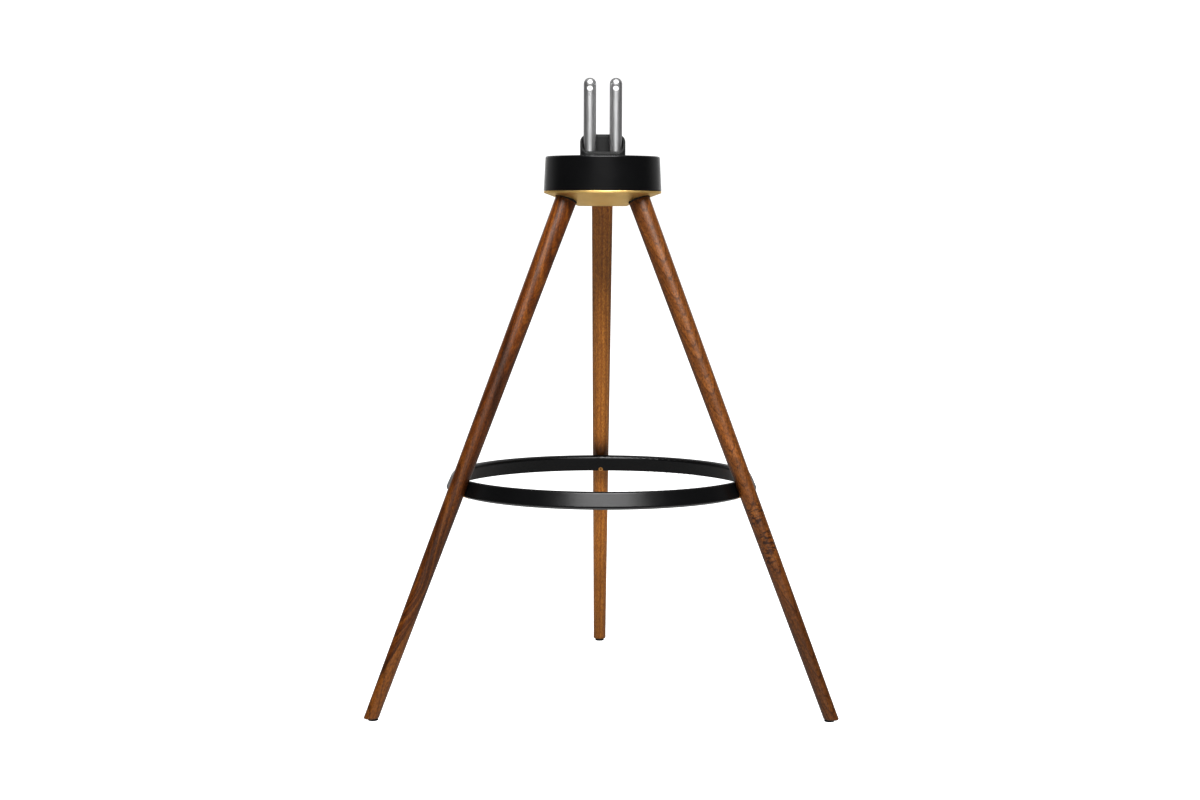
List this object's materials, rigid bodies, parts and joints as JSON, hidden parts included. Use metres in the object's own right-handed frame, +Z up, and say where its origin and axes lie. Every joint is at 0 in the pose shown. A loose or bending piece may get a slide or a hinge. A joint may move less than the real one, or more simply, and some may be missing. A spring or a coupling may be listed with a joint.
{
  "type": "tripod floor stand",
  "caption": "Tripod floor stand: tapered wooden legs, a spreader ring inside them, and a round swivelling head with two upright pinned posts and a slanted collar.",
  "frame": {"origin": "on the floor, in the middle of the footprint's bounding box; the head's vertical axis stands 71.7 mm in front of it", "axes": "+Z up, -Y the front with two legs, +Y the rear leg, +X to the right across the two posts"},
  "size_m": [0.617, 0.5664, 0.8384],
  "materials": {
    "walnut": "oiled walnut, straight grain along the leg",
    "black_rubber": "soft matte black",
    "satin_black": "fine satin black powder coat",
    "black_plastic": "fine matte black",
    "stainless": "satin polished stainless steel",
    "champagne_gold": "bead-blasted and anodised champagne gold",
    "brass": "plain brass",
    "carrier_black": "black coated steel",
    "bearing_plastic": "natural bearing plastic",
    "zinc_steel": "bright zinc plated steel"
  },
  "bodies": {
    "stand": {"base_casting": "champagne_gold", "spindle_bush": "brass", "upper_thrust_washer": "bearing_plastic", "lower_thrust_washer": "bearing_plastic", "bottom_cap": "black_plastic", "leg_left": "walnut", "leg_right": "walnut", "leg_rear": "walnut", "leg_stud_left": "zinc_steel", "leg_stud_right": "zinc_steel", "leg_stud_rear": "zinc_steel", "leg_gasket_left": "black_rubber", "leg_gasket_right": "black_rubber", "leg_gasket_rear": "black_rubber", "foot_pad_left": "black_rubber", "foot_pad_right": "black_rubber", "foot_pad_rear": "black_rubber", "foot_screws": "zinc_steel", "spreader_ring": "satin_black", "ring_screws": "brass", "ring_inserts": "brass"},
    "head": {"hub_shell": "satin_black", "post_collar": "black_plastic", "collar_screws": "zinc_steel", "post_left": "stainless", "post_right": "stainless", "post_bolts": "zinc_steel", "post_carrier": "carrier_black", "shell_screws": "zinc_steel", "swivel_spindle": "zinc_steel", "spindle_screws": "zinc_steel", "spindle_washer": "zinc_steel", "spindle_nut": "zinc_steel"}
  },
  "joints": [
    {"name": "head_swivel", "type": "hinge", "parent": "stand", "child": "head", "pos_m": [0, -0.0717, 0.694], "axis": [0, 0, 1], "continuous": true}
  ]
}
